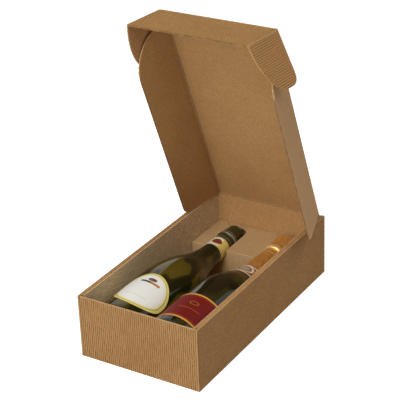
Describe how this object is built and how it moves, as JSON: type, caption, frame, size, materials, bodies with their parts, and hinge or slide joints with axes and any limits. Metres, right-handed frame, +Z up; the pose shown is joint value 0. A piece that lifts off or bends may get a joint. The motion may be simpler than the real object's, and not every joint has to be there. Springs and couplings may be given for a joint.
{
  "type": "two-bottle wine box",
  "caption": "Open kraft corrugated wine box with rolled side walls, a hinged tuck-top lid with dust flaps, and wine bottles lying side by side in a neck rest.",
  "frame": {"origin": "centre of the tray's underside, where the box rests on a table", "axes": "+Z up, +Y from the tray's front wall to the lid's hinge, +X to the right seen from the front"},
  "size_m": [0.2216, 0.366, 0.4363],
  "materials": {
    "kraft_board": "matte",
    "insert_board": "matte",
    "dark_green_glass": "gloss",
    "wine": "gloss",
    "cork": "matte",
    "dark_capsule_film": "satin",
    "cream_label_paper": "matte",
    "red_label_paper": "satin",
    "gold_label_paper": "satin",
    "gold_foil": "satin",
    "steel": "satin"
  },
  "bodies": {
    "tray": {"tray": "kraft_board", "neck_rest": "insert_board", "left_bottle_glass": "dark_green_glass", "left_bottle_wine": "wine", "left_bottle_cork": "cork", "left_bottle_capsule": "dark_capsule_film", "left_bottle_collar_label": "cream_label_paper", "left_bottle_front_label": "cream_label_paper", "right_bottle_glass": "dark_green_glass", "right_bottle_wine": "wine", "right_bottle_cork": "cork", "right_bottle_cap_disc": "steel", "right_bottle_wire_hood": "steel", "right_bottle_foil": "gold_foil", "right_bottle_neck_label": "gold_label_paper", "right_bottle_front_label": "red_label_paper"},
    "lid": {"lid": "kraft_board"},
    "left_dust_flap": {"left_dust_flap": "kraft_board"},
    "right_dust_flap": {"right_dust_flap": "kraft_board"},
    "tuck_flap": {"tuck_flap": "kraft_board"},
    "left_ear": {"left_ear": "kraft_board"},
    "right_ear": {"right_ear": "kraft_board"}
  },
  "joints": [
    {"name": "lid_hinge", "type": "hinge", "parent": "tray", "child": "lid", "pos_m": [0, 0.182, 0.095], "axis": [-1, 0, 0], "range_deg": [0, 111.4]},
    {"name": "left_dust_flap_fold", "type": "hinge", "parent": "lid", "child": "left_dust_flap", "pos_m": [-0.0859, 0.182, 0.095], "axis": [0, -0.3649, 0.9311], "range_deg": [0, 52.5]},
    {"name": "right_dust_flap_fold", "type": "hinge", "parent": "lid", "child": "right_dust_flap", "pos_m": [0.0859, 0.182, 0.095], "axis": [0, -0.3649, 0.9311], "range_deg": [-71, 0]},
    {"name": "tuck_flap_fold", "type": "hinge", "parent": "lid", "child": "tuck_flap", "pos_m": [0, 0.0501, 0.43158], "axis": [-1, 0, 0], "range_deg": [0, 66]},
    {"name": "left_ear_fold", "type": "hinge", "parent": "tuck_flap", "child": "left_ear", "pos_m": [-0.0926, 0.0501, 0.43158], "axis": [0, -0.999, 0.0454], "range_deg": [-90, 0]},
    {"name": "right_ear_fold", "type": "hinge", "parent": "tuck_flap", "child": "right_ear", "pos_m": [0.0926, 0.0501, 0.43158], "axis": [0, -0.999, 0.0454], "range_deg": [0, 64]}
  ]
}
